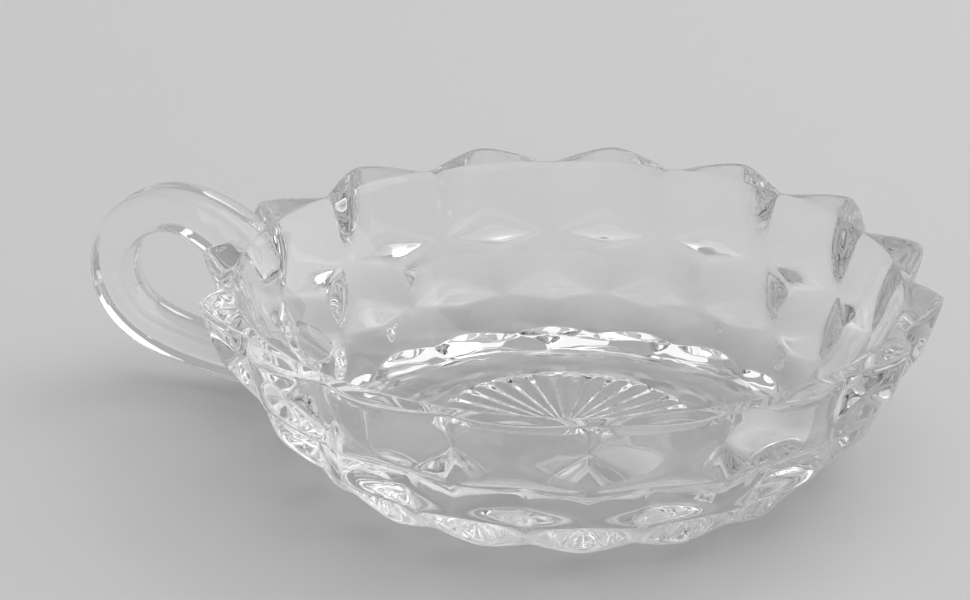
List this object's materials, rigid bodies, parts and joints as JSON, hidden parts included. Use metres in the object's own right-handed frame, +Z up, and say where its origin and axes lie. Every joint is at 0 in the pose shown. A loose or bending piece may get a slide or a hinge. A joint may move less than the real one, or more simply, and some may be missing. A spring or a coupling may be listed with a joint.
{
  "type": "pressed glass candy dish",
  "caption": "Shallow flared round dish of clear pressed glass with a stacked-cube outside, a smooth hollow and one upright ring handle at the side.",
  "frame": {"origin": "on the dish's round axis, on the plane of the flat base that it stands on", "axes": "+Z up out of the dish's mouth, -X towards the ring handle, XZ is the handle's plane of symmetry"},
  "size_m": [0.1523, 0.125, 0.038],
  "materials": {
    "clear_glass": "colourless pressed glass, fire-polished, with soft rounded mould edges"
  },
  "bodies": {
    "root": {"bowl": "clear_glass", "ring_handle": "clear_glass"}
  },
  "joints": []
}
